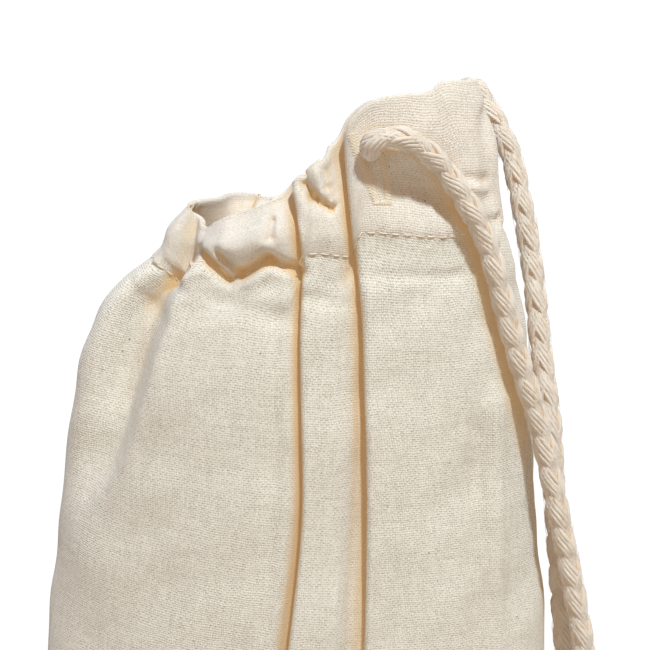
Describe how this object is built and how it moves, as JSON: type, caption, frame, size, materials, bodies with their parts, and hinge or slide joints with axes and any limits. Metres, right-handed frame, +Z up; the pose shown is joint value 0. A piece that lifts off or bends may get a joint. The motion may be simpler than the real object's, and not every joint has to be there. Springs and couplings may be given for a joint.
{
  "type": "cotton drawstring wine bag",
  "caption": "Tall calico pouch, open at the top, its hemmed mouth drawn in to soft pleats by a braided string.",
  "frame": {"origin": "centre of the bag's outline on the surface that its foot stands on", "axes": "+Z up, the pleated front faces -Y, the side seam and the string's ends are at +X"},
  "size_m": [0.1601, 0.074, 0.31],
  "materials": {
    "calico": "unbleached plain weave, matt",
    "string": "soft cotton braid, matt"
  },
  "bodies": {
    "root": {"bag_cloth": "calico", "cord_front": "string", "cord_back": "string"}
  },
  "joints": []
}
